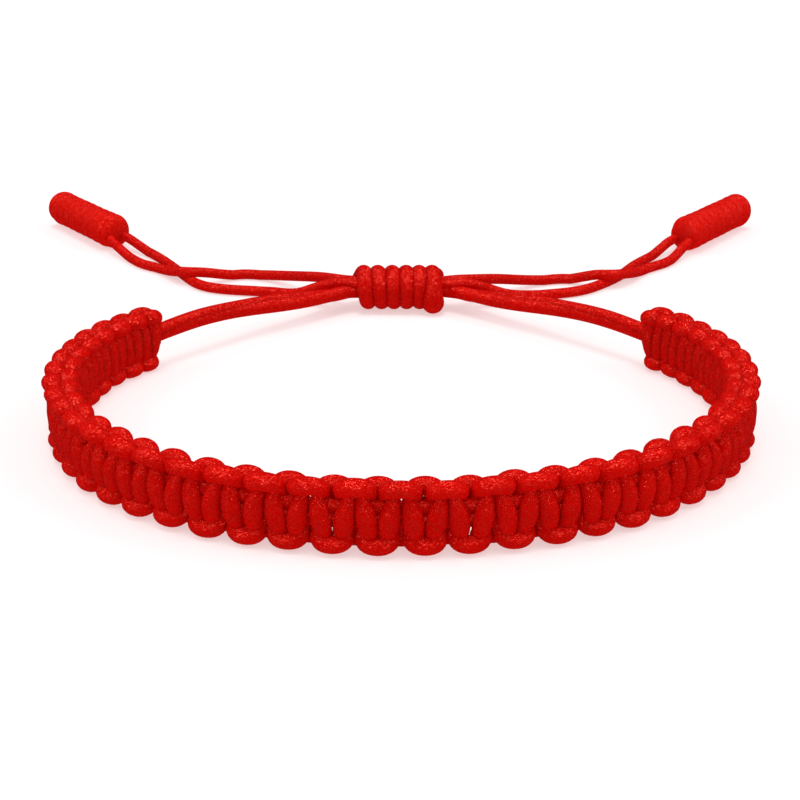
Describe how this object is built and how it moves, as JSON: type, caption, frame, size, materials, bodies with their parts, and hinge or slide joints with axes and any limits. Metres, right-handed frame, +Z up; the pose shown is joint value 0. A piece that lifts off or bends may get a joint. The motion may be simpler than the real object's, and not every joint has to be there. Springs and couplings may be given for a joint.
{
  "type": "knotted cord bracelet",
  "caption": "Adjustable knotted cord bracelet: a flat square-knot band on a cord core, closed by a sliding knot, with wrapped end knots on its free cord ends.",
  "frame": {"origin": "on the surface that the bracelet rests on, at the middle of the band and sliding knot together", "axes": "+X along the loop's width, to the right of someone facing the band's front; +Y from the front of the band towards the sliding knot; +Z up, across the band's height"},
  "size_m": [0.099, 0.0942, 0.0068],
  "materials": {
    "band_cord": "braided glossy nylon cord, saturated red with fine specular sparkle",
    "core_cord": "thin braided nylon cord, red, mostly hidden in the band",
    "thin_cord": "thin braided glossy nylon cord, red",
    "knot_cord": "turns of braided glossy nylon cord, red",
    "end_knot_cord": "turns of thin braided nylon cord, red"
  },
  "bodies": {
    "root": {"outer_strand": "band_cord", "inner_strand": "band_cord", "core_upper": "core_cord", "core_lower": "core_cord", "left_cord_upper": "thin_cord", "left_cord_lower": "thin_cord", "right_cord_upper": "thin_cord", "right_cord_lower": "thin_cord", "sliding_knot": "knot_cord", "left_end_knot": "end_knot_cord", "right_end_knot": "end_knot_cord"}
  },
  "joints": []
}
